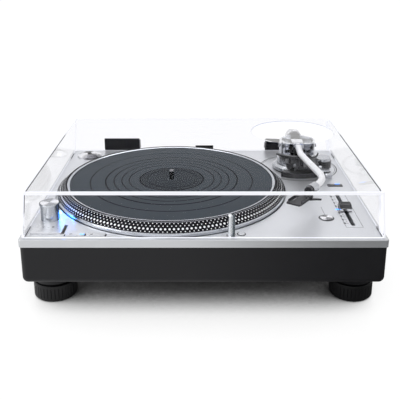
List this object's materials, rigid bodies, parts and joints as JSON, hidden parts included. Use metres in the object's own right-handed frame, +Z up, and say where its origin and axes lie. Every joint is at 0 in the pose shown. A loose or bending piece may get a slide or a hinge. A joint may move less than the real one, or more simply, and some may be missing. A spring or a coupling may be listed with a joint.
{
  "type": "turntable",
  "caption": "Direct-drive turntable: metal deck on a black cabinet with feet, dotted-rim platter, S-shaped tonearm, pitch fader and hinged clear dust cover with a bulge over the arm.",
  "frame": {"origin": "bottom centre of the bounding box, under the feet", "axes": "+X to the tonearm side along the width, -Y to the front, +Z up"},
  "size_m": [0.453, 0.372, 0.173],
  "materials": {
    "anodised_panel": "satin",
    "cabinet_rubber": "matte",
    "frame_metal": "matte",
    "brass": "satin",
    "copper_coils": "gloss",
    "board_green": "matte",
    "steel": "polished",
    "magnet": "matte",
    "platter_metal": "satin",
    "mat_rubber": "matte",
    "black_plastic": "satin",
    "chrome": "polished",
    "arm_satin": "satin",
    "silver_satin": "satin",
    "shell_grey": "satin",
    "weight_steel": "satin",
    "clear_acrylic": "polished",
    "bumper_rubber": "matte",
    "lamp_blue": "gloss",
    "foot_black": "matte",
    "button_silver": "satin"
  },
  "bodies": {
    "deck": {"top_panel": "anodised_panel", "base_cabinet": "cabinet_rubber", "chassis_frame": "frame_metal", "bearing_housing": "brass", "stator_board": "board_green", "stator_coils": "copper_coils", "control_board": "board_green", "power_supply": "frame_metal", "rear_panel": "black_plastic", "phono_jacks": "brass", "ground_post": "steel", "power_inlet": "black_plastic", "strobe_tower": "silver_satin", "strobe_lamp": "lamp_blue", "fader_housing": "black_plastic", "light_sleeve": "steel", "arm_base": "black_plastic", "hinge_brackets": "black_plastic"},
    "platter": {"platter": "platter_metal", "spindle": "steel", "rotor_magnet": "magnet", "rubber_mat": "mat_rubber"},
    "cover": {"dust_cover": "clear_acrylic", "cover_front": "clear_acrylic", "cover_bumpers": "bumper_rubber", "badge_plate": "black_plastic", "hinge_leaves": "black_plastic"},
    "arm_height": {"arm_pillar": "silver_satin", "arm_platform": "black_plastic", "arm_rest": "black_plastic"},
    "height_ring": {"height_ring": "steel"},
    "height_lock": {"height_lock": "silver_satin"},
    "gimbal": {"gimbal_yoke": "chrome", "pivot_screws": "chrome"},
    "arm": {"arm_tube": "arm_satin", "arm_block": "chrome"},
    "lift": {"lift_bar": "black_plastic"},
    "cue_lever": {"cue_lever": "silver_satin"},
    "weight_core": {"weight_core": "black_plastic"},
    "counterweight": {"counterweight": "weight_steel"},
    "force_dial": {"force_dial": "black_plastic"},
    "locking_nut": {"locking_nut": "silver_satin"},
    "headshell": {"headshell": "shell_grey", "finger_lift": "shell_grey"},
    "rest_clip": {"rest_clip": "black_plastic"},
    "antiskate_dial": {"antiskate_dial": "silver_satin"},
    "start_stop_button": {"start_stop_button": "button_silver"},
    "button_33": {"button_33": "button_silver"},
    "button_45": {"button_45": "button_silver"},
    "range_button": {"range_button": "button_silver"},
    "reset_button": {"reset_button": "button_silver"},
    "lamp_button": {"lamp_button": "button_silver"},
    "power_knob": {"power_knob": "silver_satin"},
    "fader_knob": {"fader_knob": "black_plastic"},
    "target_light": {"target_light": "silver_satin"},
    "record_adapter": {"record_adapter": "silver_satin"},
    "foot_front_left": {"foot_front_left": "foot_black"},
    "foot_front_right": {"foot_front_right": "foot_black"},
    "foot_rear_left": {"foot_rear_left": "foot_black"},
    "foot_rear_right": {"foot_rear_right": "foot_black"}
  },
  "joints": [
    {"name": "platter_spin", "type": "hinge", "parent": "deck", "child": "platter", "pos_m": [-0.0458, -0.0135, 0.11], "axis": [0, 0, -1], "continuous": true},
    {"name": "cover_hinge", "type": "hinge", "parent": "deck", "child": "cover", "pos_m": [0, 0.175, 0.113], "axis": [-1, 0, 0], "range_deg": [0, 60]},
    {"name": "height_turn", "type": "hinge", "parent": "deck", "child": "height_ring", "pos_m": [0.15, 0.0752, 0.11], "axis": [0, 0, 1], "range_deg": [0, 240]},
    {"name": "height_travel", "type": "slide", "parent": "deck", "child": "arm_height", "axis": [0, 0, 1], "range_m": [0, 0.006]},
    {"name": "height_lock_turn", "type": "hinge", "parent": "deck", "child": "height_lock", "pos_m": [0.192, 0.0285, 0.11], "axis": [0, 0, 1], "range_deg": [0, 60]},
    {"name": "arm_swing", "type": "hinge", "parent": "arm_height", "child": "gimbal", "pos_m": [0.15, 0.0752, 0.13], "axis": [0, 0, -1], "range_deg": [0, 44]},
    {"name": "arm_tilt", "type": "hinge", "parent": "gimbal", "child": "arm", "pos_m": [0.15, 0.0752, 0.1435], "axis": [-1, 0, 0], "range_deg": [0, 2.6]},
    {"name": "cue_lever_turn", "type": "hinge", "parent": "arm_height", "child": "cue_lever", "pos_m": [0.17, 0.031, 0.1205], "axis": [-1, 0, 0], "range_deg": [0, 35]},
    {"name": "lift_travel", "type": "slide", "parent": "arm_height", "child": "lift", "axis": [0, 0, 1], "range_m": [0, 0.002]},
    {"name": "weight_travel", "type": "slide", "parent": "arm", "child": "weight_core", "axis": [0, 1, 0], "range_m": [-0.003, 0.003]},
    {"name": "weight_turn", "type": "hinge", "parent": "weight_core", "child": "counterweight", "pos_m": [0.15, 0.12, 0.1435], "axis": [0, 1, 0], "range_deg": [-540, 540]},
    {"name": "force_dial_turn", "type": "hinge", "parent": "weight_core", "child": "force_dial", "pos_m": [0.15, 0.11, 0.1435], "axis": [0, 1, 0], "continuous": true},
    {"name": "locking_nut_turn", "type": "hinge", "parent": "arm", "child": "locking_nut", "pos_m": [0.13945, -0.11757, 0.1435], "axis": [-0.5796, -0.8149, 0], "range_deg": [0, 60]},
    {"name": "headshell_pull", "type": "slide", "parent": "arm", "child": "headshell", "axis": [-0.5796, -0.8149, 0], "range_m": [0, 0.012]},
    {"name": "rest_clip_turn", "type": "hinge", "parent": "arm_height", "child": "rest_clip", "pos_m": [0.15825, 0.0202, 0.1445], "axis": [0, -1, 0], "range_deg": [0, 165]},
    {"name": "antiskate_turn", "type": "hinge", "parent": "arm_height", "child": "antiskate_dial", "pos_m": [0.187, 0.0475, 0.13], "axis": [0, 0, 1], "range_deg": [0, 270]},
    {"name": "start_stop_button_press", "type": "slide", "parent": "deck", "child": "start_stop_button", "axis": [0, 0, -1], "range_m": [0, 0.0012], "stiffness_N_per_m": 400, "springref_m": -0.001},
    {"name": "button_33_press", "type": "slide", "parent": "deck", "child": "button_33", "axis": [0, 0, -1], "range_m": [0, 0.0009], "stiffness_N_per_m": 400, "springref_m": -0.001},
    {"name": "button_45_press", "type": "slide", "parent": "deck", "child": "button_45", "axis": [0, 0, -1], "range_m": [0, 0.0009], "stiffness_N_per_m": 400, "springref_m": -0.001},
    {"name": "range_button_press", "type": "slide", "parent": "deck", "child": "range_button", "axis": [0, 0, -1], "range_m": [0, 0.0008], "stiffness_N_per_m": 400, "springref_m": -0.001},
    {"name": "reset_button_press", "type": "slide", "parent": "deck", "child": "reset_button", "axis": [0, 0, -1], "range_m": [0, 0.001], "stiffness_N_per_m": 400, "springref_m": -0.001},
    {"name": "lamp_button_press", "type": "slide", "parent": "deck", "child": "lamp_button", "axis": [0, 0, -1], "range_m": [0, 0.0008], "stiffness_N_per_m": 400, "springref_m": -0.001},
    {"name": "power_knob_turn", "type": "hinge", "parent": "deck", "child": "power_knob", "pos_m": [-0.2, -0.1225, 0.12], "axis": [0, 0, 1], "range_deg": [0, 45]},
    {"name": "pitch_fader_slide", "type": "slide", "parent": "deck", "child": "fader_knob", "axis": [0, 1, 0], "range_m": [-0.045, 0.045]},
    {"name": "target_light_slide", "type": "slide", "parent": "deck", "child": "target_light", "axis": [0, 0, -1], "range_m": [0, 0.028]},
    {"name": "adapter_lift", "type": "slide", "parent": "deck", "child": "record_adapter", "axis": [0, 0, 1], "range_m": [0, 0.02]},
    {"name": "foot_front_left_turn", "type": "hinge", "parent": "deck", "child": "foot_front_left", "pos_m": [-0.198, -0.1275, 0.02], "axis": [0, 0, 1], "continuous": true},
    {"name": "foot_front_right_turn", "type": "hinge", "parent": "deck", "child": "foot_front_right", "pos_m": [0.198, -0.1275, 0.02], "axis": [0, 0, 1], "continuous": true},
    {"name": "foot_rear_left_turn", "type": "hinge", "parent": "deck", "child": "foot_rear_left", "pos_m": [-0.198, 0.108, 0.02], "axis": [0, 0, 1], "continuous": true},
    {"name": "foot_rear_right_turn", "type": "hinge", "parent": "deck", "child": "foot_rear_right", "pos_m": [0.198, 0.108, 0.02], "axis": [0, 0, 1], "continuous": true}
  ],
  "couplings": [
    {"joint": "height_travel", "follows": "height_turn", "m_per_rad": 0.0014322},
    {"joint": "lift_travel", "follows": "cue_lever_turn", "m_per_rad": 0.0032737},
    {"joint": "arm_tilt", "follows": "cue_lever_turn", "ratio": 0.074278},
    {"joint": "weight_travel", "follows": "weight_turn", "m_per_rad": 0.000318}
  ]
}
